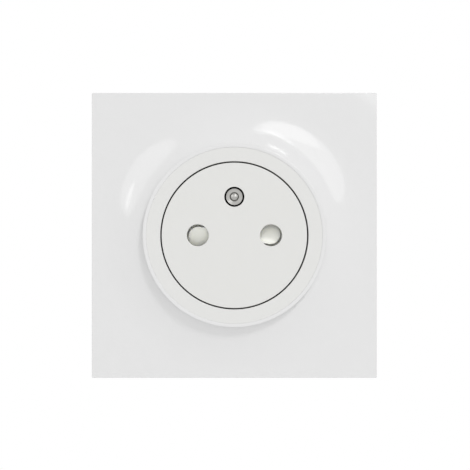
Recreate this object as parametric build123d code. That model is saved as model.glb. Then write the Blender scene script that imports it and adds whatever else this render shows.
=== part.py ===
from build123d import *
import os
from math import asin, cos, degrees, radians, sin, tan

# Flush wall socket with an earth pin and a sprung front disc that sinks as the plug goes in.
# Sizes are in millimetres. Each piece is drawn lying on its back: x is to the right, y is up the wall
# and z is the height above the wall. The last section stands the pieces up on the wall.

# Driving dimensions of the cover plate
plate_width = 74.6
plate_corner_radius = 0.3
plate_edge_chamfer = 0.1
plate_wall = 1.8
lip_rise = 0.05
lip_land = 0.88
lip_chamfer = 0.08
lip_side = 0.9
border_drop = 2.0
cove_margin = 0.7
collar_wall = 1.6
plate_clearance = 0.05

# Driving dimensions of the face and of the disc in it
face_height = 10.0
ring_width = 3.65
ring_wall = 1.25
ring_thickness = 2.0
well_diameter = 38.4
well_wall = 1.5
face_chamfer = 0.1
disc_gap = 0.34
disc_thickness = 1.0
disc_skirt_wall = 1.4
disc_travel = 15.0
travel_margin = 0.5
lug_width = 3.4
lug_height = 1.6
lug_side_gap = 0.4
lug_stop_gap = 0.05
guide_rib_width = 0.5
guide_rib_gap = 0.1
guide_rib_depth = 0.3
guide_rib_angles = (227.0, 249.5, 290.5, 313.0)

# Driving dimensions of the pins and their holes
pin_spacing = 19.0
pin_hole_diameter = 5.65
hole_chamfer = 0.15
earth_offset = 10.0
earth_pin_diameter = 4.8
earth_pin_gap = 0.2
earth_tip_chamfer = 0.2
earth_tip_depth = 0.1
earth_dimple_diameter = 2.2
earth_dimple_depth = 0.5
earth_collar_wall = 1.2
earth_shoulder_wall = 1.2
earth_shoulder_height = 0.8
earth_tail_diameter = 3.6
earth_rivet_wall = 0.6
earth_seat_gap = 0.05

# Driving dimensions of the shutter and of what traps it
pivot_diameter = 3.6
hub_wall = 2.15
shutter_gap = 0.15
ramp_rise = 1.8
ramp_diameter = 5.5
ramp_distance = 9.3
ramp_lag = 3.0
arm_width = 5.0
blade_floor = 0.8
blade_outer_radius = 13.2
blade_half_angle = 21.0
shutter_turn = 40.0
stop_wall = 1.0
stop_catch = 2.0
stop_gap_angle = 1.0
retainer_thickness = 1.2
retainer_gap = 0.3
tab_width = 4.0
tab_gap = 0.2
leaf_thickness = 0.25
leaf_width = 1.1
leaf_reach = 10.1
leaf_anchor_length = 2.4
leaf_touch_gap = 0.1
leaf_anchor_wall = 0.9

# Driving dimensions of the return spring
spring_mean_radius = 3.65
spring_wire = 0.65
spring_turns = 7
spring_steps = 10
spring_wire_sides = 6
spring_peg_height = 1.6
spring_cup_depth = 6.0
spring_side_gap = 0.25
cup_wall = 0.8

# Driving dimensions of the frame
frame_side_gap = 1.2
frame_thickness = 1.2
frame_corner_cut = 8.0
frame_rim_height = 2.4
frame_bend_radius = 0.8
frame_gap = 0.4
flange_width = 3.4
flange_thickness = 1.5
fixing_spacing = 60.0
fixing_hole_diameter = 4.2
keyhole_head_diameter = 8.0
keyhole_sweep = 14.0
clip_radius = 30.0
clip_thickness = 1.5
clip_width = 5.0
clip_barb = 0.7
clip_reach = 1.6
clip_gap = 0.3

# Driving dimensions of the parts behind the wall
base_thickness = 1.6
housing_depth = 29.0
housing_wall = 1.5
housing_back = 1.8
housing_chamfer = 1.0
housing_gap = 0.2
hook_depth = 6.0
hook_height = 3.0
hook_width = 6.6
hook_catch = 0.8
hook_gap = 0.1
strip_thickness = 0.8
strip_width = 10.0
strip_bend_radius = 0.9
leaf_pair_gap = 4.3
contact_width = 6.0
chamber_wall = 1.0
chamber_gap = 0.3
wire_space = 2.4
terminal_screw_diameter = 3.2
screw_head_diameter = 5.8
screw_head_height = 2.0
screw_head_chamfer = 0.65
recess_length = 3.7
recess_width = 0.8
recess_depth = 1.0
screw_recess = 0.7
thread_gap = 0.05
boss_wall = 1.0
boss_length = 1.0
clamp_width = 8.0
clamp_thickness = 1.0
clamp_corner_cut = 1.0
clamp_lip = 0.5
bay_wall = 1.2
bay_gap = 0.2
wire_entry_width = 3.7
wire_entry_depth = 3.6
wire_entry_rib = 1.0

# Radii that follow from the driving dimensions
well_radius = well_diameter / 2
ring_radius = well_radius + ring_width
opening_radius = ring_radius + plate_clearance
tube_radius = well_radius + well_wall
disc_radius = well_radius - disc_gap
skirt_radius = disc_radius - disc_skirt_wall
pin_x = pin_spacing / 2
pin_hole_radius = pin_hole_diameter / 2
earth_radius = earth_pin_diameter / 2
earth_hole_radius = earth_radius + earth_pin_gap
earth_collar_radius = earth_hole_radius + earth_collar_wall
earth_shoulder_radius = earth_radius + earth_shoulder_wall
earth_tail_radius = earth_tail_diameter / 2
earth_rivet_radius = earth_tail_radius + earth_rivet_wall
pivot_radius = pivot_diameter / 2
flange_radius = ring_radius + flange_width
frame_opening_radius = tube_radius + frame_gap
housing_inner_radius = tube_radius + housing_wall + housing_gap
hook_radius = housing_inner_radius + hook_catch
housing_radius = housing_inner_radius + housing_wall
pad_distance = housing_radius - screw_recess - screw_head_height - clamp_thickness - wire_space
cup_radius = spring_mean_radius + spring_wire / 2 + spring_side_gap
cup_outer_radius = cup_radius + cup_wall

# Heights that follow, from the front to the back
lip_height = face_height + lip_rise
border_height = lip_height - border_drop
disc_under = face_height - disc_thickness
blade_top = disc_under - shutter_gap
blade_low = blade_top - ramp_rise
blade_under = blade_low - blade_floor
retainer_top = blade_under - shutter_gap
retainer_under = retainer_top - retainer_thickness
leaf_under = retainer_top + shutter_gap
leaf_top = leaf_under + leaf_width
skirt_end = retainer_under - tab_gap
base_top = skirt_end - disc_travel - travel_margin
base_under = base_top - base_thickness
shoulder_top = base_under + earth_shoulder_height
strip_under = base_under - strip_thickness
cup_floor = base_top - spring_cup_depth
housing_floor = housing_back - housing_depth
screw_height = (base_under + housing_floor) / 2
flange_top = frame_thickness + flange_thickness
square_turn = 90.0
quarters = [square_turn * k for k in range(4)]
diagonals = [square_turn * (k + 0.5) for k in range(4)]
terminal_angles = {"line": 0.0, "earth": 90.0, "neutral": 180.0}


def cylinder(radius, bottom, top, x=0.0, y=0.0):
    """Upright cylinder between two heights."""
    standing = (Align.CENTER, Align.CENTER, Align.MIN)
    return Pos(x, y, bottom) * Cylinder(radius, top - bottom, align=standing)


def tube(outer, inner, bottom, top, x=0.0, y=0.0):
    """Upright tube between two heights."""
    return cylinder(outer, bottom, top, x, y) - cylinder(inner, bottom, top, x, y)


def block(x_range, y_range, z_range):
    """Box between the given limits."""
    low = [min(pair) for pair in (x_range, y_range, z_range)]
    size = [max(pair) - min(pair) for pair in (x_range, y_range, z_range)]
    corner = (Align.MIN, Align.MIN, Align.MIN)
    return Pos(*low) * Box(*size, align=corner)


def turned(points):
    """Solid turned about the socket's axis from points (radius, height)."""
    return revolve(Plane.XZ * make_face(Polyline(*points, close=True)), Axis.Z)


def radial_bar(points, width):
    """Bar of the given width whose section is drawn as points (radius, height), along x."""
    half = width / 2
    section = Plane.XZ * make_face(Polyline(*points, close=True))
    return extrude(section, amount=half, both=True)


def turned_copies(shape, angles):
    """Copies of a shape turned about the socket's axis."""
    return [Rot(0, 0, angle) * shape for angle in angles]


def cover_plate():
    """Square moulded plate: flat border, long cove up to the raised lip, collar and four clip legs."""
    # The cove is one long arc. It ends level with the border, at the cove's margin from the plate's edge,
    # and rises to the foot of the lip, whose side stands straight up from it.
    lip_radius = opening_radius + lip_land
    foot_height = lip_height - lip_side
    cove_rise = foot_height - border_height
    cove_end = plate_width / 2 - cove_margin
    across = cove_end - lip_radius
    cove_radius = (across**2 + cove_rise**2) / (2 * cove_rise)
    cove_sweep = degrees(asin(across / cove_radius))
    cove = JernArc((cove_end, border_height), (-1, 0), cove_radius, -cove_sweep)

    collar_radius = opening_radius + collar_wall
    back_radius = cove_radius + plate_wall
    back_sweep = degrees(asin((cove_end - collar_radius) / back_radius))
    back_start = (cove_end, border_height - plate_wall)
    back = JernArc(back_start, (-1, 0), back_radius, -back_sweep)
    collar_end = flange_top + clip_gap
    lip = Polyline(
        cove @ 1, (lip_radius, lip_height - lip_chamfer), (lip_radius - lip_chamfer, lip_height),
        (opening_radius, lip_height), (opening_radius, collar_end), (collar_radius, collar_end), back @ 1)
    section = make_face([cove, lip, back, Line(back_start, cove @ 0)])
    dome = revolve(Plane.XZ * section, Axis.Z)

    border = extrude(RectangleRounded(plate_width, plate_width, plate_corner_radius), border_height)
    border = chamfer(border.edges().group_by(Axis.Z)[-1], plate_edge_chamfer)
    inner_width = plate_width - 2 * plate_wall
    cavity = block((-inner_width / 2, inner_width / 2), (-inner_width / 2, inner_width / 2),
                   (0, border_height - plate_wall))
    border = border - cavity - cylinder(cove_end, border_height - plate_wall, border_height)

    leg_in = clip_radius - clip_thickness / 2
    leg_out = clip_radius + clip_thickness / 2
    leg_top = border_height - plate_wall / 2
    catch = -clip_gap / 2
    leg = radial_bar(
        [(leg_in, leg_top), (leg_out, leg_top), (leg_out, catch), (leg_out + clip_barb, catch),
         (leg_out, catch - clip_reach), (leg_in, catch - clip_reach)], clip_width)
    return border + dome + turned_copies(leg, diagonals)


def mounting_frame():
    """Pressed steel frame: folded edges, two fixing holes, two keyholes and four clip windows."""
    frame_width = plate_width - 2 * (plate_wall + frame_side_gap)
    half = frame_width / 2
    cut = frame_corner_cut
    outline = chamfer(Rectangle(frame_width, frame_width).vertices(), cut)
    frame = extrude(outline, frame_thickness)
    rim_half = half - cut
    rim = block((half - frame_thickness, half), (-rim_half, rim_half), (0, frame_rim_height + frame_thickness))
    frame = frame + turned_copies(rim, quarters)
    back_edges = frame.edges().group_by(Axis.Z)[0]
    folds = [edge for edge in back_edges if max(abs(edge.center().X), abs(edge.center().Y)) > rim_half]
    frame = fillet([edge for edge in folds if edge.length > 2 * cut], frame_bend_radius)

    opening = cylinder(frame_opening_radius, 0, frame_thickness)
    notch_half = hook_width / 2 + frame_gap
    notch = block((0, hook_radius + frame_gap), (-notch_half, notch_half), (0, frame_thickness))
    window_half = clip_width / 2 + clip_gap
    window_in = clip_radius - clip_thickness / 2 - clip_gap
    window_out = clip_radius + clip_thickness / 2 + clip_barb + clip_gap
    window = block((window_in, window_out), (-window_half, window_half), (0, frame_thickness))
    fixing = cylinder(fixing_hole_diameter / 2, 0, frame_thickness, 0, fixing_spacing / 2)
    path = CenterArc((0, 0), fixing_spacing / 2, 0, keyhole_sweep)
    keyhole = extrude(SlotArc(path, fixing_hole_diameter), frame_thickness)
    head = cylinder(keyhole_head_diameter / 2, 0, frame_thickness, *tuple(path @ 1)[:2])
    cuts = turned_copies(notch, diagonals) + turned_copies(window, diagonals)
    cuts = cuts + turned_copies(fixing, quarters[::2]) + turned_copies(keyhole + head, quarters[::2])
    return frame - opening - cuts


def front_well():
    """Trim ring, with the tube that guides the disc, the flange on the frame and four snap hooks."""
    core_top = face_height - ring_thickness
    skirt_inner = ring_radius - ring_wall
    body = turned([
        (well_radius, base_top), (well_radius, face_height), (ring_radius, face_height),
        (ring_radius, flange_top), (flange_radius, flange_top), (flange_radius, frame_thickness),
        (skirt_inner, frame_thickness), (skirt_inner, core_top), (tube_radius, core_top), (tube_radius, base_top)])
    rims = body.edges().filter_by(GeomType.CIRCLE).group_by(Axis.Z)[-1].sort_by(SortBy.RADIUS)
    body = chamfer(rims[0], face_chamfer)

    slot_half = lug_width / 2 + lug_side_gap
    slot_top = skirt_end + lug_height + lug_stop_gap
    slot = block((skirt_radius, tube_radius + well_wall), (-slot_half, slot_half), (base_top, slot_top))
    hook_top = -hook_depth - hook_gap
    root = well_radius + well_wall / 2
    hook = radial_bar([(root, hook_top), (hook_radius, hook_top), (root, hook_top - hook_height)], hook_width)
    return body - turned_copies(slot, quarters) + turned_copies(hook, diagonals)


def floating_disc():
    """Front disc with its skirt, guide lugs and ribs, pin holes, shutter pivot, stops and earth pin guide."""
    body = cylinder(disc_radius, skirt_end, face_height) - cylinder(skirt_radius, skirt_end, disc_under)
    body = chamfer(body.edges().filter_by(GeomType.CIRCLE).group_by(Axis.Z)[-1], face_chamfer)
    lug_half = lug_width / 2
    lug_out = tube_radius - lug_side_gap
    lug_in = disc_radius - disc_skirt_wall / 2
    lug = block((lug_in, lug_out), (-lug_half, lug_half), (skirt_end, skirt_end + lug_height))
    rib_half = guide_rib_width / 2
    rib_out = well_radius - guide_rib_gap
    rib_top = face_height - guide_rib_depth
    rib = block((lug_in, rib_out), (-rib_half, rib_half), (skirt_end, rib_top))
    window_half = tab_width / 2 + tab_gap
    window = block((skirt_radius - disc_skirt_wall, disc_radius + disc_gap), (-window_half, window_half),
                   (retainer_under - tab_gap, retainer_top + tab_gap))
    body = body + turned_copies(lug, quarters) + turned_copies(rib, guide_rib_angles)
    body = body - turned_copies(window, diagonals)

    pivot = cylinder(pivot_radius, retainer_top, disc_under)
    guide = cylinder(earth_collar_radius, skirt_end, disc_under, 0, earth_offset)
    stop_radius = blade_outer_radius - stop_catch
    stop = block((stop_radius, skirt_radius + disc_skirt_wall / 2), (-stop_wall / 2, stop_wall / 2),
                 (blade_under, disc_under))
    stop_lean = degrees(asin(stop_wall / 2 / stop_radius)) + stop_gap_angle
    rest_stop = blade_half_angle + stop_lean
    end_stop = -blade_half_angle - shutter_turn - stop_lean
    stops = turned_copies(stop, (rest_stop, rest_stop + 180, end_stop, end_stop + 180))
    body = body + pivot + guide + stops

    sides = (-pin_x, pin_x)
    holes = [cylinder(pin_hole_radius, disc_under, face_height, x) for x in sides]
    mouths = [Pos(x, 0, face_height - hole_chamfer / 2) * Cone(
        pin_hole_radius, pin_hole_radius + hole_chamfer, hole_chamfer) for x in sides]
    earth_hole = cylinder(earth_hole_radius, skirt_end, face_height, 0, earth_offset)
    return body - holes - mouths - earth_hole


def shutter():
    """Two-bladed rotary shutter: each blade carries a round ramp that a plug's pin pushes aside."""
    hub_inner = pivot_radius + shutter_gap
    hub_outer = hub_inner + hub_wall
    hub = tube(hub_outer, hub_inner, leaf_top + shutter_gap, blade_top)
    reach = 2 * blade_outer_radius
    wedge_edge = reach * sin(radians(blade_half_angle))
    wedge_far = reach * cos(radians(blade_half_angle))
    sector = make_face(Polyline((0, 0), (wedge_far, -wedge_edge), (wedge_far, wedge_edge), close=True))
    blade = extrude(Pos(0, 0, blade_under) * sector, blade_floor)
    blade = blade & tube(blade_outer_radius, hub_outer, blade_under, blade_low)

    ramp_radius = ramp_diameter / 2
    arm_half = arm_width / 2
    arm = block((hub_outer - hub_wall / 2, ramp_distance), (-arm_half, arm_half), (blade_under, blade_top))
    ramp = arm + cylinder(ramp_radius, blade_under, blade_top, ramp_distance)
    profile = Polyline(
        (-ramp_radius, blade_under), (-ramp_radius, blade_top), (ramp_radius, blade_low),
        (ramp_radius, blade_under), close=True)
    ramp = ramp & extrude(Plane.YZ * make_face(profile), blade_outer_radius)
    blade = blade + Rot(0, 0, ramp_lag) * ramp
    return hub + turned_copies(blade, (0, 180))


def leaf_line():
    """Height up the wall of the shutter spring's leaf, just below the right blade's edge."""
    blade_edge = leaf_reach * tan(radians(blade_half_angle))
    return -blade_edge - leaf_touch_gap - leaf_thickness / 2


def shutter_spring():
    """Leaf of spring steel with a hooked end: it lies under the right blade and turns the shutter back."""
    half = leaf_thickness / 2
    middle = leaf_line()
    heights = (leaf_under, leaf_top)
    hook_x = -leaf_anchor_length - leaf_thickness
    leaf = block((hook_x, leaf_reach), (middle - half, middle + half), heights)
    hook = block((hook_x, hook_x + leaf_thickness), (middle - leaf_anchor_wall, middle + half), heights)
    return leaf + hook


def shutter_retainer():
    """Plate clipped into the disc's skirt: traps the shutter, holds its spring and seats the return spring."""
    plate = cylinder(skirt_radius - retainer_gap, retainer_under, retainer_top)
    tab_half = tab_width / 2
    tab = block((skirt_radius - 2 * disc_skirt_wall, disc_radius - tab_gap), (-tab_half, tab_half),
                (retainer_under, retainer_top))
    peg_radius = spring_mean_radius - spring_wire / 2 - spring_side_gap
    peg = cylinder(peg_radius, retainer_under - spring_peg_height, retainer_under)
    middle = leaf_line()
    slot_half = leaf_thickness / 2
    anchor_y = (middle - leaf_anchor_wall - slot_half, middle + leaf_anchor_wall + slot_half)
    anchor = block((-leaf_anchor_length, 0), anchor_y, (retainer_top, leaf_top))
    slot = block((-leaf_anchor_length, 0), (middle - slot_half, middle + slot_half), (leaf_under, leaf_top))
    holes = [cylinder(pin_hole_radius + retainer_gap, retainer_under, retainer_top, x) for x in (-pin_x, pin_x)]
    guide_hole = cylinder(earth_collar_radius + retainer_gap, retainer_under, retainer_top, 0, earth_offset)
    plate = plate + turned_copies(tab, diagonals) + peg + (anchor - slot)
    return plate - holes - guide_hole


def return_spring():
    """Coil spring between the spring cup and the back of the disc."""
    wire_radius = spring_wire / 2
    height = retainer_under - cup_floor - spring_wire
    coil = Helix(height / spring_turns, height, spring_mean_radius, center=(0, 0, cup_floor + wire_radius))
    steps = spring_turns * spring_steps
    path = Polyline([coil @ (k / steps) for k in range(steps + 1)])
    section = Plane(path @ 0, z_dir=path % 0) * RegularPolygon(wire_radius, spring_wire_sides)
    return sweep(section, path=path, transition=Transition.RIGHT)


def earth_pin():
    """Turned pin with a rounded, dimpled end, a shoulder under the well's floor and a riveted tail."""
    tip = face_height - earth_tip_depth
    pin = cylinder(earth_radius, base_under, tip, 0, earth_offset)
    pin = chamfer(pin.edges().group_by(Axis.Z)[-1], earth_tip_chamfer)
    dimple = Pos(0, earth_offset, tip - earth_dimple_depth / 2) * Cone(
        0, earth_dimple_diameter / 2, earth_dimple_depth)
    shoulder = cylinder(earth_shoulder_radius, base_under, shoulder_top, 0, earth_offset)
    tail = cylinder(earth_tail_radius, strip_under, base_under, 0, earth_offset)
    rivet = cylinder(earth_rivet_radius, strip_under - strip_thickness, strip_under, 0, earth_offset)
    return pin - dimple + shoulder + tail + rivet


def well_base():
    """Floor of the well: pin holes, a seat for the earth pin's shoulder and the return spring's cup."""
    floor = cylinder(housing_inner_radius - housing_gap, base_under, base_top)
    cup = cylinder(cup_outer_radius, cup_floor - cup_wall, base_top)
    hollow = cylinder(cup_radius, cup_floor, base_top)
    holes = [cylinder(pin_hole_radius + retainer_gap, base_under, base_top, x) for x in (-pin_x, pin_x)]
    pin_seat = cylinder(earth_radius + earth_seat_gap, base_under, base_top, 0, earth_offset)
    shoulder_seat = cylinder(earth_shoulder_radius + earth_seat_gap, base_under, shoulder_top, 0, earth_offset)
    return floor + cup - hollow - holes - pin_seat - shoulder_seat


def terminal_strip(inner_end):
    """Folded strip along x: flat under the well's floor, then bent back into a pad with a tapped boss."""
    half = strip_width / 2
    pad_end = housing_floor + bay_gap
    flat = block((inner_end, pad_distance), (-half, half), (strip_under, base_under))
    pad_inner = pad_distance - strip_thickness
    pad = block((pad_inner, pad_distance), (-half, half), (pad_end, base_under))
    strip = flat + pad
    bend = strip.edges().filter_by(Axis.Y).sort_by_distance((pad_distance, 0, base_under))[0]
    strip = fillet(bend, strip_bend_radius)
    screw_radius = terminal_screw_diameter / 2
    boss_radius = screw_radius + boss_wall
    sideways = Pos(0, 0, screw_height) * Rot(0, 90, 0)
    boss = sideways * cylinder(boss_radius, pad_inner - boss_length, pad_inner)
    hole = sideways * cylinder(screw_radius + thread_gap, pad_inner - boss_length, pad_distance)
    return strip + boss - hole


def pin_contact():
    """Contact strip for a plug's pin: the flat has the pin's hole and two leaves that grip the pin."""
    half = contact_width / 2
    grip = leaf_pair_gap / 2
    wall_y = strip_width / 2 - chamber_wall - chamber_gap
    neck = base_under - (base_under - housing_floor) / 2
    mouth_end = housing_floor + chamber_wall
    thick = strip_thickness
    leaf_points = [
        (wall_y - thick, base_under), (wall_y, base_under), (wall_y, strip_under - thick), (grip + thick, neck),
        (wall_y, mouth_end), (wall_y - thick, mouth_end), (grip, neck), (wall_y - thick, strip_under - thick)]
    leaf_face = Plane.YZ * make_face(Polyline(*leaf_points, close=True))
    leaf = extrude(Pos(pin_x - half, 0, 0) * leaf_face, contact_width)
    strip = terminal_strip(pin_x - half - chamber_wall)
    strip = strip - cylinder(pin_hole_radius, strip_under, base_under, pin_x)
    return strip + leaf + mirror(leaf, Plane.XZ)


def earth_strap():
    """Earth strip, with the hole for the earth pin's riveted tail."""
    strip = terminal_strip(cup_outer_radius + bay_gap)
    return strip - cylinder(earth_tail_radius + earth_seat_gap, strip_under, base_under, earth_offset)


def terminal_clamp():
    """Square clamp plate under the screw's head, with turned-in lips that keep the wires under it."""
    half = clamp_width / 2
    inner = pad_distance + wire_space
    outer = inner + clamp_thickness
    plate = block((inner, outer), (-half, half), (screw_height - half, screw_height + half))
    plate = chamfer(plate.edges().filter_by(Axis.X), clamp_corner_cut)
    lip_half = half - clamp_corner_cut
    lip = block((inner - clamp_lip, inner), (half - clamp_lip, half),
                (screw_height - lip_half, screw_height + lip_half))
    hole_radius = terminal_screw_diameter / 2 + bay_gap
    hole = Pos(0, 0, screw_height) * Rot(0, 90, 0) * cylinder(hole_radius, inner, outer)
    return plate + lip + mirror(lip, Plane.XZ) - hole


def terminal_screw():
    """Pan-head terminal screw with a cross recess, lying along x."""
    head_bottom = pad_distance + wire_space + clamp_thickness
    head_top = head_bottom + screw_head_height
    tip = pad_distance - strip_thickness - boss_length
    head = cylinder(screw_head_diameter / 2, head_bottom, head_top)
    head = chamfer(head.edges().group_by(Axis.Z)[-1], screw_head_chamfer)
    shank = cylinder(terminal_screw_diameter / 2, tip, head_bottom)
    arm = recess_length / 2
    slot_half = recess_width / 2
    slot = block((-arm, arm), (-slot_half, slot_half), (head_top - recess_depth, head_top))
    screw = head + shank - slot - Rot(0, 0, 90) * slot
    return Pos(0, 0, screw_height) * Rot(0, 90, 0) * screw


def rear_housing():
    """Moulded cup behind the wall: contact chambers, three terminal bays, wire entries and snap windows."""
    body = cylinder(housing_radius, -housing_depth, 0)
    body = chamfer(body.edges().filter_by(GeomType.CIRCLE).group_by(Axis.Z)[0], housing_chamfer)
    body = body - cylinder(housing_inner_radius, housing_floor, 0)

    chamber_x = contact_width / 2 + chamber_gap
    chamber_y = strip_width / 2 - chamber_wall
    outer_x = chamber_x + chamber_wall
    outer_y = strip_width / 2 + bay_gap
    walls = (housing_floor, strip_under)
    chamber = block((pin_x - outer_x, pin_x + outer_x), (-outer_y, outer_y), walls)
    chamber = chamber - block((pin_x - chamber_x, pin_x + chamber_x), (-chamber_y, chamber_y), walls)
    post_inner = earth_rivet_radius + chamber_gap
    post = tube(post_inner + chamber_wall, post_inner, *walls, 0, earth_offset)
    shelf = block((tube_radius - housing_wall, housing_inner_radius + housing_wall / 2),
                  (-hook_width / 2, hook_width / 2), (housing_floor, base_under))
    body = body + turned_copies(chamber, (0, 180)) + post + turned_copies(shelf, diagonals)

    bay_half = strip_width / 2 + bay_gap
    bay_inner = pad_distance - strip_thickness - boss_length
    side = block((bay_inner, housing_inner_radius), (bay_half, bay_half + bay_wall), walls)
    window = block((pad_distance, housing_radius), (-bay_half, bay_half),
                   (housing_floor, strip_under))
    entry_y = (wire_entry_rib / 2, wire_entry_rib / 2 + wire_entry_width)
    entry = block((pad_distance + bay_gap, pad_distance + bay_gap + wire_entry_depth), entry_y,
                  (-housing_depth, housing_floor))
    sides = side + mirror(side, Plane.XZ)
    openings = [window, entry, mirror(entry, Plane.XZ)]
    bay_angles = terminal_angles.values()
    body = body + turned_copies(sides, bay_angles)
    for opening in openings:
        body = body - turned_copies(opening, bay_angles)

    snap_half = hook_width / 2 + frame_gap
    snap = block((tube_radius, housing_radius), (-snap_half, snap_half),
                 (-hook_depth - hook_height - frame_gap, -hook_depth))
    return body - turned_copies(snap, diagonals)


def all_pieces():
    """Every piece by name, still lying on its back."""
    pieces = {
        "cover_plate": cover_plate(),
        "mounting_frame": mounting_frame(),
        "front_well": front_well(),
        "floating_disc": floating_disc(),
        "shutter": shutter(),
        "shutter_spring": shutter_spring(),
        "shutter_retainer": shutter_retainer(),
        "return_spring": return_spring(),
        "earth_pin": earth_pin(),
        "well_base": well_base(),
        "rear_housing": rear_housing(),
        "line_contact": Rot(0, 0, terminal_angles["line"]) * pin_contact(),
        "neutral_contact": Rot(0, 0, terminal_angles["neutral"]) * pin_contact(),
        "earth_strap": Rot(0, 0, terminal_angles["earth"]) * earth_strap(),
    }
    for pole, angle in terminal_angles.items():
        pieces[pole + "_clamp"] = Rot(0, 0, angle) * terminal_clamp()
        pieces[pole + "_screw"] = Rot(0, 0, angle) * terminal_screw()
    return pieces


# Stand the pieces up on the wall: the front looks along -y, and +z is up
on_the_wall = Plane(origin=(0, 0, 0), x_dir=(1, 0, 0), z_dir=(0, -1, 0))
os.makedirs("parts", exist_ok=True)
for name, piece in all_pieces().items():
    export_step(piece.moved(on_the_wall.location), f"parts/{name}.step")
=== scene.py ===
import math

import bmesh
import bpy
from mathutils import Matrix, Vector


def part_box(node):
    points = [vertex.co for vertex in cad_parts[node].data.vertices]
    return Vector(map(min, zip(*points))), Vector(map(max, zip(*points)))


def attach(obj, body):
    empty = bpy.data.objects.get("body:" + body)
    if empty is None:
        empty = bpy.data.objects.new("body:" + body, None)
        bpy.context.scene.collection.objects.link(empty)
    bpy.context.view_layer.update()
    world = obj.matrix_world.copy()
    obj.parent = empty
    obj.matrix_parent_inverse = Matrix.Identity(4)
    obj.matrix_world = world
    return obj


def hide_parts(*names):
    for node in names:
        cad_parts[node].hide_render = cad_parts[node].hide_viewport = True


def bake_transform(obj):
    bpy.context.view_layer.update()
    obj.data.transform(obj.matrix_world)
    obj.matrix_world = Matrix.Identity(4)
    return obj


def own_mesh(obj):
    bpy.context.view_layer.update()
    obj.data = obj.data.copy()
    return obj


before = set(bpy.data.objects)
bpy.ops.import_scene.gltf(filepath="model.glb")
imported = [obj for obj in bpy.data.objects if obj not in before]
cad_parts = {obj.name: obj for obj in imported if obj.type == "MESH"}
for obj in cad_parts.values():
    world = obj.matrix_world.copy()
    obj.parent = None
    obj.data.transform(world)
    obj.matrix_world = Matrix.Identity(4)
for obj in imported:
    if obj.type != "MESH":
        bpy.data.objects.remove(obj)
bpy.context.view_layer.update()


# Rear housing, the cup that goes into the flush box.
# It is moulded in grey glass-filled polyamide, with three terminal bays open at its sides,
# and it snaps onto four hooks of the well.
plastic_ior = 1.53
flow_mm = 9
weld_distance = 2e-6
flat_angle = 0.5
sharp_angle = 28
rounded_angle = 35


def linear(code):
    """Linear colour from an sRGB hex code such as #e4e4e2."""
    channels = [int(code[k:k + 2], 16) / 255 for k in (1, 3, 5)]
    curve = [c / 12.92 if c <= 0.04045 else ((c + 0.055) / 1.055) ** 2.4 for c in channels]
    return (*curve, 1.0)


def add_node(tree, kind, settings, links):
    """Adds a node with its settings, on sockets or properties, and with outputs linked to its sockets."""
    node = tree.nodes.new(kind)
    for key, value in settings.items():
        if isinstance(key, int) or key in node.inputs:
            node.inputs[key].default_value = value
        else:
            setattr(node, key, value)
    for key, source in links.items():
        tree.links.new(source, node.inputs[key])
    return node


def per_metre(millimetres):
    """Scale of a pattern whose features are this size."""
    return 1000 / millimetres


def new_material(name):
    """Empty material with its node tree, its shader and the object's own coordinates."""
    material = bpy.data.materials.new(name)
    material.use_nodes = True
    tree = material.node_tree
    tree.nodes.clear()
    shader = add_node(tree, "ShaderNodeBsdfPrincipled", {}, {})
    add_node(tree, "ShaderNodeOutputMaterial", {}, {"Surface": shader.outputs["BSDF"]})
    place = add_node(tree, "ShaderNodeTexCoord", {}, {}).outputs["Object"]
    return material, tree, shader, place


def varied(tree, shader, pattern, colours, gloss):
    """Colour and roughness that go from the first to the second of two values with a pattern."""
    tint = add_node(tree, "ShaderNodeMix",
                    {"data_type": "RGBA", 6: linear(colours[0]), 7: linear(colours[1])}, {0: pattern})
    rough = add_node(tree, "ShaderNodeMapRange", {"To Min": gloss[0], "To Max": gloss[1]}, {"Value": pattern})
    tree.links.new(tint.outputs[2], shader.inputs["Base Color"])
    tree.links.new(rough.outputs["Result"], shader.inputs["Roughness"])


def moulded(name, colours, roughness, spread, grain_mm, grain_depth_mm):
    """Moulded plastic: colour and gloss clouded by the melt's flow, and a fine grain from the tool."""
    material, tree, shader, place = new_material(name)
    flow = add_node(tree, "ShaderNodeTexNoise", {"Scale": per_metre(flow_mm), "Detail": 3.0},
                    {"Vector": place})
    varied(tree, shader, flow.outputs["Fac"], colours, (roughness - spread, roughness + spread))
    grain = add_node(tree, "ShaderNodeTexNoise", {"Scale": per_metre(grain_mm), "Detail": 2.0},
                     {"Vector": place})
    relief = add_node(tree, "ShaderNodeBump", {"Strength": 1.0, "Distance": grain_depth_mm / 1000},
                      {"Height": grain.outputs["Fac"]})
    tree.links.new(relief.outputs["Normal"], shader.inputs["Normal"])
    shader.inputs["IOR"].default_value = plastic_ior
    return material


def dressed(node, finish, mesh, material):
    """Object for a finished mesh in place of a CAD node: smooth except at its sharp edges."""
    name = node + "_" + finish
    mesh.name = name
    mesh.materials.clear()
    mesh.materials.append(material)
    mesh.shade_smooth()
    mesh.set_sharp_from_angle(angle=math.radians(sharp_angle))
    piece = bpy.data.objects.new(name, mesh)
    bpy.context.scene.collection.objects.link(piece)
    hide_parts(node)
    return piece


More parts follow.
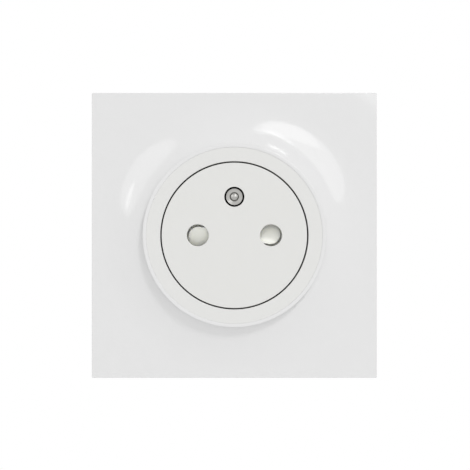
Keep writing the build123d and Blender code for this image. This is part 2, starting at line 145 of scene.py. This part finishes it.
def softened(node, material, body, slot, edge_mm):
    """Piece in place of a CAD node: the same solid, its triangles merged and its sharp edges rounded."""
    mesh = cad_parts[node].data.copy()
    for layer in ("custom_normal", "sharp_edge", "sharp_face"):
        if layer in mesh.attributes:
            mesh.attributes.remove(mesh.attributes[layer])
    shape = bmesh.new()
    shape.from_mesh(mesh)
    bmesh.ops.remove_doubles(shape, verts=shape.verts, dist=weld_distance)
    bmesh.ops.dissolve_limit(shape, angle_limit=math.radians(flat_angle), verts=shape.verts,
                             edges=shape.edges)
    shape.to_mesh(mesh)
    shape.free()
    piece = dressed(node, "moulded" if "moulding" in slot else "pressed", mesh, material)
    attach(piece, body)
    rounding = piece.modifiers.new("rounded edges", "BEVEL")
    rounding.width = edge_mm / 1000
    rounding.segments = 2
    rounding.limit_method = "ANGLE"
    rounding.angle_limit = math.radians(rounded_angle)
    rounding.harden_normals = True


# Grey glass-filled polyamide: a dull satin with a spark-eroded grain that breaks up the highlights.
# The grain is drawn a little coarser than the tool leaves it, so that it shows.
grey_polyamide = moulded("moulded polyamide, grey", ("#a3a6a8", "#999c9f"), roughness=0.48, spread=0.06,
                         grain_mm=0.35, grain_depth_mm=0.012)
softened("rear_housing", grey_polyamide, "socket", "grey_moulding", edge_mm=0.25)


# Contact strips and earth strap, stamped and folded from brass strip.
# Each lies under the well's floor and ends in a terminal pad with a tapped boss.
gloss_swing = 0.25


def rolled_metal(name, colours, roughness, line_mm, stretch, depth_mm):
    """Rolled or drawn metal: fine lines, or a mottle if the stretch is even, in colour, gloss and relief."""
    material, tree, shader, place = new_material(name)
    along = add_node(tree, "ShaderNodeMapping", {"Scale": stretch}, {"Vector": place})
    lines = add_node(tree, "ShaderNodeTexNoise", {"Scale": per_metre(line_mm), "Detail": 3.0},
                     {"Vector": along.outputs["Vector"]})
    varied(tree, shader, lines.outputs["Fac"], colours,
           (roughness * (1 - gloss_swing), roughness * (1 + gloss_swing)))
    relief = add_node(tree, "ShaderNodeBump", {"Strength": 1.0, "Distance": depth_mm / 1000},
                      {"Height": lines.outputs["Fac"]})
    tree.links.new(relief.outputs["Normal"], shader.inputs["Normal"])
    shader.inputs["Metallic"].default_value = 1.0
    return material


# Brass strip: warm yellow, with fine rolling lines along the strip and a slightly clouded gloss.
# The lines are drawn wider than the mill leaves them, so that they show.
brass_strip = rolled_metal("rolled brass strip", ("#dcb86a", "#cda556"), roughness=0.28, line_mm=0.4,
                           stretch=(1.0, 0.1, 1.0), depth_mm=0.004)
for node in ("line_contact", "neutral_contact", "earth_strap"):
    softened(node, brass_strip, "socket", "brass_strip", edge_mm=0.12)


# Terminal clamps and screws, pressed and headed in steel and zinc plated.
# Each screw goes through its clamp into the strip's boss and pulls the wires against the pad.
# Zinc plating: bluish bright grey, softly reflecting, with faint cloudy patches from the bath.
cloud_mm = 2.5
zinc_plating, tree, shader, place = new_material("zinc plating on steel")
clouds = add_node(tree, "ShaderNodeTexNoise", {"Scale": per_metre(cloud_mm), "Detail": 4.0},
                  {"Vector": place})
varied(tree, shader, clouds.outputs["Fac"], ("#c6cacd", "#b2b6ba"), (0.22, 0.4))
shader.inputs["Metallic"].default_value = 1.0
for pole in ("line", "neutral", "earth"):
    softened(pole + "_clamp", zinc_plating, "socket", "terminal_steel", edge_mm=0.15)
    softened(pole + "_screw", zinc_plating, "socket", "terminal_steel", edge_mm=0.2)


# Floor of the well, moulded in the same grey polyamide as the housing.
# It lies on the contact strips and holds the return spring in the cup at its middle.
softened("well_base", grey_polyamide, "socket", "grey_moulding", edge_mm=0.2)


# Earth pin, turned from brass bar and nickel plated, riveted to the earth strap by its tail.
# Its end is level with the front disc and has a tapering nose, which leads into the plug,
# a dished face and a ring groove round a small pip.
earth_height = 0.010
pin_radius = 0.0024
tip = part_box("earth_pin")[0].y
nose_round = 0.002
nose_slope = 30
dish_slope = 6.4
groove_outside = 0.0012
groove_inside = 0.00088
groove_depth = 0.0018
pip_flat = 0.00006
pip_slope = 11
shoulder_radius = 0.0036
shoulder_front = 0.0116
floor_back = 0.0124
tail_radius = 0.0018
strip_back = 0.0132
rivet_radius = 0.0024
rivet_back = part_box("earth_pin")[1].y
groove_steps = 8
nose_steps = 6
pin_steps = 64
seam_weld = 1e-7


def turn(shape, points, centre, steps):
    """Adds to a shape what is turned about an axis along y through centre, from points (radius, y)."""
    line = [shape.verts.new((centre.x + r, y, centre.z)) for r, y in points]
    edges = [shape.edges.new(pair) for pair in zip(line, line[1:])]
    bmesh.ops.spin(shape, geom=line + edges, cent=centre, axis=(0, 1, 0), angle=math.tau, steps=steps,
                   use_merge=True)
    bmesh.ops.remove_doubles(shape, verts=shape.verts, dist=seam_weld)


def arc(centre, radius, first, last, steps):
    """Points (radius, y) on an arc, with angles in degrees from the outward radius towards the back."""
    turns = [math.radians(first + (last - first) * k / steps) for k in range(steps + 1)]
    return [(centre[0] + radius * math.cos(t), centre[1] + radius * math.sin(t)) for t in turns]


def mesh_of(shape):
    """Mesh of a finished shape, with its faces pointing outwards."""
    bmesh.ops.recalc_face_normals(shape, faces=shape.faces)
    mesh = bpy.data.meshes.new("piece")
    shape.to_mesh(mesh)
    shape.free()
    return mesh


nose_back = tip + nose_round * math.sin(math.radians(nose_slope))
rim_radius = pin_radius - nose_round + nose_round * math.cos(math.radians(nose_slope))
dish_front = tip + (rim_radius - groove_outside) * math.tan(math.radians(dish_slope))
pip_edge = dish_front + (groove_inside - pip_flat) * math.tan(math.radians(pip_slope))
groove_round = (groove_outside - groove_inside) / 2
groove_floor = dish_front + groove_depth - groove_round
pin_profile = [(0, dish_front), (pip_flat, dish_front), (groove_inside, pip_edge)]
pin_profile += arc((groove_inside + groove_round, groove_floor), groove_round, 180, 0, groove_steps)
pin_profile += [(groove_outside, dish_front)]
pin_profile += arc((pin_radius - nose_round, nose_back), nose_round, -nose_slope, 0, nose_steps)
pin_profile += [(pin_radius, shoulder_front), (shoulder_radius, shoulder_front)]
pin_profile += [(shoulder_radius, floor_back), (tail_radius, floor_back)]
pin_profile += [(tail_radius, strip_back), (rivet_radius, strip_back)]
pin_profile += [(rivet_radius, rivet_back), (0, rivet_back)]
pin_shape = bmesh.new()
turn(pin_shape, pin_profile, Vector((0, 0, earth_height)), pin_steps)

# Nickel plating: a warm pale grey that mirrors its surroundings, drawn out in rings by the turning.
# The rings are drawn wider than the tool leaves them, so that they show.
# A wave runs through 20 radians in each unit of its scale.
ring_mm = 1.57
wave_radians = 20
ring_scale = per_metre(ring_mm) * math.tau / wave_radians
nickel, tree, shader, place = new_material("nickel plating on turned brass")
centred = add_node(tree, "ShaderNodeMapping", {"Location": (0, 0, -earth_height)}, {"Vector": place})
rings = add_node(tree, "ShaderNodeTexWave",
                 {"wave_type": "RINGS", "rings_direction": "Y", "Scale": ring_scale, "Distortion": 0.6,
                  "Detail": 2.0},
                 {"Vector": centred.outputs["Vector"]})
varied(tree, shader, rings.outputs["Fac"], ("#b6b5b2", "#a6a5a2"), (0.12, 0.2))
shader.inputs["Metallic"].default_value = 1.0
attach(dressed("earth_pin", "turned", mesh_of(pin_shape), nickel), "socket")


# Return spring, coiled from round spring wire, between the cup in the well's floor and the back of the disc.
# Its end turns lie closed against the next ones, and it is squeezed as the disc sinks.
coil_radius = 0.00365
wire_radius = 0.000325
wire_sides = 10
turn_steps = 36
turn_gap = 0.000013
closed_turns = 1
open_turns = 6
spring_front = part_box("return_spring")[0].y
spring_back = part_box("return_spring")[1].y
closed_pitch = 2 * wire_radius + turn_gap
span = spring_back - spring_front - 2 * wire_radius
open_pitch = (span - 2 * closed_turns * closed_pitch) / open_turns
coil = bmesh.new()
bmesh.ops.create_circle(coil, segments=wire_sides, radius=wire_radius, cap_ends=True)
bmesh.ops.translate(coil, verts=coil.verts, vec=(coil_radius, spring_front + wire_radius, 0))
leading = coil.verts[:] + coil.edges[:]
for turns, pitch in ((closed_turns, closed_pitch), (open_turns, open_pitch), (closed_turns, closed_pitch)):
    wound = bmesh.ops.spin(coil, geom=leading, cent=(0, 0, 0), axis=(0, 1, 0),
                           dvec=(0, pitch / turn_steps, 0), angle=turns * math.tau, steps=turns * turn_steps)
    leading = wound["geom_last"]
bmesh.ops.holes_fill(coil, edges=[edge for edge in coil.edges if edge.is_boundary], sides=wire_sides)

# Spring steel: drawn wire and strip with a dark bright surface, finely mottled by the drawing.
# The mottle is coarser than the die leaves it, so that it shows.
spring_steel = rolled_metal("drawn spring steel", ("#a9a9ab", "#949497"), roughness=0.25, line_mm=0.3,
                            stretch=(1.0, 1.0, 1.0), depth_mm=0.002)
spring = dressed("return_spring", "wound", mesh_of(coil), spring_steel)
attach(spring, "socket")
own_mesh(spring)


# Back of the disc, a grey moulded plate clipped into the disc's skirt, and the shutter's spring held on it.
# The spring is a leaf of steel strip, hooked at one end. Its tip lies under the right blade,
# which pushes on it.
softened("shutter_retainer", grey_polyamide, "disc", "grey_moulding", edge_mm=0.15)
leaf_low, leaf_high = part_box("shutter_spring")
leaf_thickness = 0.00025
leaf_cuts = 24
leaf_line = leaf_high.z - leaf_thickness / 2
hook_line = leaf_low.x + leaf_thickness / 2
leaf_points = ((hook_line, leaf_low.z), (hook_line, leaf_line), (leaf_high.x, leaf_line))
leaf_shape = bmesh.new()
leaf_centre = [leaf_shape.verts.new((x, leaf_low.y, z)) for x, z in leaf_points]
leaf_edges = [leaf_shape.edges.new(pair) for pair in zip(leaf_centre, leaf_centre[1:])]
bmesh.ops.subdivide_edges(leaf_shape, edges=leaf_edges[1:], cuts=leaf_cuts)
strip = bmesh.ops.extrude_edge_only(leaf_shape, edges=leaf_shape.edges[:])["geom"]
strip_far = [item for item in strip if isinstance(item, bmesh.types.BMVert)]
bmesh.ops.translate(leaf_shape, verts=strip_far, vec=(0, leaf_high.y - leaf_low.y, 0))
bmesh.ops.recalc_face_normals(leaf_shape, faces=leaf_shape.faces)
bmesh.ops.solidify(leaf_shape, geom=leaf_shape.faces[:], thickness=leaf_thickness)
leaf = dressed("shutter_spring", "leaf", mesh_of(leaf_shape), spring_steel)
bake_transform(leaf)


# Safety shutter, moulded in unpigmented polyamide, turning on a pivot at the back of the disc.
# Its two round ramps lie behind the pin holes, and the plug's pins push them aside together.
# Natural polyamide: a slightly green ivory that lets a little light in under a satin surface.
natural_polyamide = moulded("moulded polyamide, natural", ("#fbfcf1", "#f9faee"), roughness=0.35,
                            spread=0.05, grain_mm=0.3, grain_depth_mm=0.004)
shader = natural_polyamide.node_tree.nodes["Principled BSDF"]
shader.inputs["Subsurface Weight"].default_value = 0.6
shader.inputs["Subsurface Radius"].default_value = (1.0, 1.0, 0.9)
shader.inputs["Subsurface Scale"].default_value = 0.0006
softened("shutter", natural_polyamide, "shutter_blades", "ivory_moulding", edge_mm=0.12)


# Front disc, moulded in white ABS with its skirt, guide lugs and ribs in one piece.
# It slides in the well, and the two pin holes and the earth pin's hole have lightly broken edges.
# White ABS, disc: a shade warmer than the plate, glossy, with a barely uneven surface.
white_disc = moulded("moulded ABS, white, disc", ("#e1e1df", "#e0e0dd"), roughness=0.16, spread=0.03,
                     grain_mm=1.2, grain_depth_mm=0.0008)

# Painted shade: a dark colour behind the face on the skirt's side and on the wall of the earth pin's hole,
# which darkens the seam round the disc and the ring round the pin.
shade_start = 0.00006
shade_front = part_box("floating_disc")[0].y + shade_start
skirt_inside = 0.0182
hole_reach = 0.003
tree = white_disc.node_tree
shader = tree.nodes["Principled BSDF"]
place = add_node(tree, "ShaderNodeTexCoord", {}, {}).outputs["Object"]
backward = add_node(tree, "ShaderNodeSeparateXYZ", {}, {"Vector": place}).outputs["Y"]
sideways = add_node(tree, "ShaderNodeVectorMath", {"operation": "MULTIPLY", 1: (1, 0, 1)}, {0: place})
from_axis = add_node(tree, "ShaderNodeVectorMath", {"operation": "LENGTH"}, {0: sideways.outputs["Vector"]})
from_pin = add_node(tree, "ShaderNodeVectorMath", {"operation": "DISTANCE", 1: (0, 0, earth_height)},
                    {0: sideways.outputs["Vector"]})
on_skirt = add_node(tree, "ShaderNodeMath", {"operation": "GREATER_THAN", 1: skirt_inside},
                    {0: from_axis.outputs["Value"]})
on_hole = add_node(tree, "ShaderNodeMath", {"operation": "LESS_THAN", 1: hole_reach},
                   {0: from_pin.outputs["Value"]})
gap_walls = add_node(tree, "ShaderNodeMath", {"operation": "MAXIMUM"},
                   {0: on_skirt.outputs[0], 1: on_hole.outputs[0]})
behind = add_node(tree, "ShaderNodeMath", {"operation": "GREATER_THAN", 1: shade_front}, {0: backward})
painted_shade = add_node(tree, "ShaderNodeMath", {"operation": "MULTIPLY"},
                {0: gap_walls.outputs[0], 1: behind.outputs[0]})
plastic = shader.inputs["Base Color"].links[0].from_socket
# The mix paints the shade over the plastic's own colour in these gaps.
shaded_gaps = add_node(tree, "ShaderNodeMix", {"data_type": "RGBA", 7: linear("#38383a")},
                   {0: painted_shade.outputs[0], 6: plastic})
tree.links.new(shaded_gaps.outputs[2], shader.inputs["Base Color"])
softened("floating_disc", white_disc, "disc", "white_moulding", edge_mm=0.03)


# Front well, moulded in white ABS: the trim ring round the disc, the tube that guides it and the hooks.
# It goes through the steel frame from the front, and the housing snaps onto it behind.
# White ABS, ring: as warm and as glossy as the disc, with the same barely uneven surface.
white_ring = moulded("moulded ABS, white, ring", ("#e2e2e0", "#e0e0de"), roughness=0.16, spread=0.03,
                     grain_mm=1.2, grain_depth_mm=0.0008)
softened("front_well", white_ring, "socket", "white_moulding", edge_mm=0.015)


# Mounting frame, pressed from zinc-plated steel sheet with folded edges, round holes and keyholes.
# It is screwed to the flush box, and the well and the cover plate are fixed to it.
# Zinc-plated sheet: cool bright grey with the faint lines of the rolling mill under the plating.
# Here too the lines are drawn wider than the mill leaves them.
plated_sheet = rolled_metal("zinc-plated steel sheet", ("#c3c7ca", "#b4b8bc"), roughness=0.34, line_mm=0.5,
                            stretch=(0.08, 1.0, 1.0), depth_mm=0.003)
softened("mounting_frame", plated_sheet, "socket", "zinc_plated_steel", edge_mm=0.15)


# Cover plate, moulded in white ABS and polished: a square border, a long cove and a raised lip round the
# ring. Four legs behind it snap into the windows of the steel frame.
half_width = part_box("cover_plate")[1].x
lip_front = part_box("cover_plate")[0].y
border_front = -0.00805
border_flat = 0.0007
plate_wall = 0.0018
corner_radius = 0.0003
rim_round = 0.0001
edge_round = 0.00002
bore_radius = 0.02286
lip_radius = 0.02378
lip_side = 0.0009
lip_round = 0.00003
foot_round = 0.0001
collar_radius = 0.0245
collar_back = -0.003
ring_steps = 192
cove_steps = 40
foot_steps = 6
lip_steps = 4
edge_steps = 3
back_steps = 20
corner_segments = 4
rim_segments = 3
same_level = 1e-6

# The lip's side goes straight back to a tight foot, and the cove is one long arc from there to the border.
cove_end = half_width - border_flat
foot_x = lip_radius + foot_round
foot_y = lip_front + lip_side - foot_round
cove_width = cove_end - foot_x
cove_drop = border_front - foot_y
cove_round = (cove_width ** 2 + cove_drop ** 2 - foot_round ** 2) / (2 * (cove_drop - foot_round))
cove_slope = math.degrees(math.asin(cove_width / (cove_round - foot_round)))
back_end = half_width - plate_wall - border_flat
back_round = cove_round + plate_wall
back_sweep = math.degrees(math.asin((back_end - collar_radius) / back_round))
plate_profile = arc((cove_end, border_front - cove_round), cove_round, 90, 90 + cove_slope, cove_steps)
plate_profile += arc((foot_x, foot_y), foot_round, 90 + cove_slope, 180, foot_steps)[1:]
plate_profile += arc((lip_radius - lip_round, lip_front + lip_round), lip_round, 0, -90, lip_steps)
plate_profile += arc((bore_radius + edge_round, lip_front + edge_round), edge_round, -90, -180, edge_steps)
plate_profile += [(bore_radius, collar_back), (collar_radius, collar_back)]
plate_profile += arc((back_end, border_front + plate_wall - back_round), back_round, 90 + back_sweep, 90,
                     back_steps)

# The square border starts as a block: its back is hollowed, its corners and front edge are rounded,
# and the turned middle is joined to the openings left in its front and in the hollow's floor.
plate_shape = bmesh.new()
bmesh.ops.create_cube(plate_shape, size=1.0)
bmesh.ops.scale(plate_shape, verts=plate_shape.verts, vec=(2 * half_width, -border_front, 2 * half_width))
bmesh.ops.translate(plate_shape, verts=plate_shape.verts, vec=(0, border_front / 2, 0))
uprights = [edge for edge in plate_shape.edges if abs(edge.verts[0].co.y - edge.verts[1].co.y) > plate_wall]
back = max(plate_shape.faces, key=lambda face: face.calc_center_median().y)
bmesh.ops.inset_region(plate_shape, faces=[back], thickness=plate_wall)
hollow = bmesh.ops.extrude_discrete_faces(plate_shape, faces=[back])["faces"]
bmesh.ops.translate(plate_shape, verts=hollow[0].verts, vec=(0, border_front + plate_wall, 0))
bmesh.ops.delete(plate_shape, geom=hollow, context="FACES_ONLY")
bmesh.ops.bevel(plate_shape, geom=uprights, offset=corner_radius, affect="EDGES", segments=corner_segments,
                profile=0.5, material=-1)
front = min(plate_shape.faces, key=lambda face: face.calc_center_median().y)
bmesh.ops.bevel(plate_shape, geom=front.edges[:], offset=rim_round, affect="EDGES", segments=rim_segments,
                profile=0.5, material=-1)
front = min(plate_shape.faces, key=lambda face: face.calc_center_median().y)
bmesh.ops.inset_region(plate_shape, faces=[front], thickness=rim_round)
bmesh.ops.delete(plate_shape, geom=[front], context="FACES_ONLY")
turn(plate_shape, plate_profile, Vector((0, 0, 0)), ring_steps)
for level in (border_front, border_front + plate_wall):
    open_edges = [edge for edge in plate_shape.edges if edge.is_boundary]
    rims = [edge for edge in open_edges if abs(edge.verts[0].co.y - level) < same_level]
    bmesh.ops.bridge_loops(plate_shape, edges=rims)

# Each leg is a strip with a snap hook, and stands on one of the plate's diagonals.
leg_width = 0.005
leg_inside = 0.02925
leg_outside = 0.03075
hook_outside = 0.03145
leg_front = -0.0072
hook_front = 0.00015
leg_back = 0.00175
leg_points = ((leg_inside, leg_front), (leg_outside, leg_front), (leg_outside, hook_front),
              (hook_outside, hook_front), (leg_outside, leg_back), (leg_inside, leg_back))
for diagonal in (45, 135, 225, 315):
    side = [plate_shape.verts.new((r, y, -leg_width / 2)) for r, y in leg_points]
    pulled = bmesh.ops.extrude_face_region(plate_shape, geom=[plate_shape.faces.new(side)])["geom"]
    other = [item for item in pulled if isinstance(item, bmesh.types.BMVert)]
    bmesh.ops.translate(plate_shape, verts=other, vec=(0, 0, leg_width))
    bmesh.ops.rotate(plate_shape, verts=side + other, cent=(0, 0, 0),
                     matrix=Matrix.Rotation(math.radians(diagonal), 3, "Y"))

# White ABS, plate: neutral white, polished in the tool, so that the cove draws the lamps out into streaks.
white_plate = moulded("moulded ABS, white, plate", ("#e3e3e3", "#e2e2e2"), roughness=0.055, spread=0.015,
                      grain_mm=1.5, grain_depth_mm=0.0006)
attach(dressed("cover_plate", "moulded", mesh_of(plate_shape), white_plate), "socket")


# Floor, a plain pale painted disc that fades out at its rim.
# It isn't part of the socket: it lies below it and takes its shadow.
floor_height = -0.2
floor_radius = 0.4
floor_steps = 96
fade_share = 0.6
floor_shape = bmesh.new()
bmesh.ops.create_circle(floor_shape, segments=floor_steps, radius=floor_radius, cap_ends=True)
bmesh.ops.translate(floor_shape, verts=floor_shape.verts, vec=(0, 0, floor_height))
floor = bpy.data.objects.new("floor", mesh_of(floor_shape))
bpy.context.scene.collection.objects.link(floor)
pale_floor, tree, shader, place = new_material("pale painted floor")
shader.inputs["Base Color"].default_value = linear("#f4f4f4")
shader.inputs["Roughness"].default_value = 0.8
fading = add_node(tree, "ShaderNodeMapping",
                  {"Location": (0, 0, -floor_height / floor_radius), "Scale": (1 / floor_radius,) * 3},
                  {"Vector": place})
inward = add_node(tree, "ShaderNodeTexGradient", {"gradient_type": "SPHERICAL"},
                  {"Vector": fading.outputs["Vector"]})
solid = add_node(tree, "ShaderNodeMapRange", {"From Max": fade_share}, {"Value": inward.outputs["Fac"]})
tree.links.new(solid.outputs["Result"], shader.inputs["Alpha"])
floor.data.materials.append(pale_floor)


# White room round the socket.
# It is white where it is seen or mirrored, and its light is softer from the sides than from ahead and behind.
side_light = 0.25
ahead_light = 1.05
room = bpy.data.worlds.new("white room")
bpy.context.scene.world = room
room.use_nodes = True
tree = room.node_tree
tree.nodes.clear()
ray = add_node(tree, "ShaderNodeLightPath", {}, {})
seen = add_node(tree, "ShaderNodeMath", {"operation": "MAXIMUM"},
                {0: ray.outputs["Is Camera Ray"], 1: ray.outputs["Is Glossy Ray"]})
shown = add_node(tree, "ShaderNodeMath", {"operation": "MAXIMUM"},
                 {0: seen.outputs[0], 1: ray.outputs["Is Transmission Ray"]})
outlook = add_node(tree, "ShaderNodeTexCoord", {}, {})
direction = add_node(tree, "ShaderNodeSeparateXYZ", {}, {"Vector": outlook.outputs["Generated"]})
ahead = add_node(tree, "ShaderNodeMath", {"operation": "ABSOLUTE"}, {0: direction.outputs["Y"]})
strength = add_node(tree, "ShaderNodeMapRange", {"To Min": side_light, "To Max": ahead_light},
                    {"Value": ahead.outputs[0]})
soft_light = add_node(tree, "ShaderNodeBackground", {"Color": linear("#ffffff")},
                      {"Strength": strength.outputs["Result"]})
white = add_node(tree, "ShaderNodeBackground", {"Color": linear("#ffffff"), "Strength": 1.0}, {})
mixed = add_node(tree, "ShaderNodeMixShader", {},
                 {0: shown.outputs[0], 1: soft_light.outputs[0], 2: white.outputs[0]})
add_node(tree, "ShaderNodeOutputWorld", {}, {"Surface": mixed.outputs[0]})


# Studio lamps: a strong one that rakes across the front from the upper right and throws the lip's shadow,
# and soft panels and strips at the upper right and upper left, which the cove mirrors as bright patches
# and streaks.
panel_distance = 4.0


def soft_panel(name, around, off_axis, roll, width, height, brightness, distance=panel_distance):
    """Elliptical lamp that faces the socket, with its size and distance in metres and angles in degrees.

    The angles go round the front from the right, off the socket's axis, and about the lamp's own axis.
    """
    bearing = math.radians(around)
    lean = math.radians(off_axis)
    away = Vector((math.sin(lean) * math.cos(bearing), -math.cos(lean), math.sin(lean) * math.sin(bearing)))
    area = math.pi / 4 * width * height
    lamp = bpy.data.lights.new(name, "AREA")
    lamp.shape = "ELLIPSE"
    lamp.size = width
    lamp.size_y = height
    lamp.energy = brightness * math.pi * area
    stand = bpy.data.objects.new(name, lamp)
    bpy.context.scene.collection.objects.link(stand)
    stand.location = away * distance
    upright = away.to_track_quat("Z", "Y").to_matrix()
    stand.rotation_euler = (upright @ Matrix.Rotation(math.radians(roll), 3, "Z")).to_euler()
    stand.visible_camera = False


soft_panel("side lamp", around=62, off_axis=66.5, roll=0, width=0.45, height=0.45, brightness=52,
           distance=2.5)
soft_panel("right panel", around=46, off_axis=18.9, roll=-43, width=1.44, height=0.48, brightness=1.4)
soft_panel("right bright panel", around=65, off_axis=19.1, roll=-54, width=0.88, height=0.30, brightness=1.5)
soft_panel("right streak", around=66.5, off_axis=21.6, roll=-24, width=0.62, height=0.05, brightness=3.0)
soft_panel("right lip streak", around=63, off_axis=25.7, roll=-27, width=0.42, height=0.04, brightness=7.0)
soft_panel("left panel", around=146, off_axis=20.3, roll=56, width=1.20, height=0.50, brightness=1.2)
soft_panel("left bright strip", around=159.6, off_axis=20.6, roll=60, width=0.36, height=0.09, brightness=2.6)


# Camera, straight in front of the socket and a little to the right of and above its centre.
# Its lens follows from the picture's width and from the pixels that a metre spans at a metre's distance.
image_width = 470
picture_scale = 711.5
sensor_width = 36
camera_right = 0.00017
camera_up = 0.0001
camera_distance = 0.1942
camera_data = bpy.data.cameras.new("camera")
camera_data.sensor_width = sensor_width
camera_data.lens = sensor_width * picture_scale / image_width
camera = bpy.data.objects.new("camera", camera_data)
bpy.context.scene.collection.objects.link(camera)
camera.location = (camera_right, -camera_distance, camera_up)
camera.rotation_euler = (math.radians(90), 0, 0)
bpy.context.scene.camera = camera
bpy.context.scene.view_settings.view_transform = "Standard"
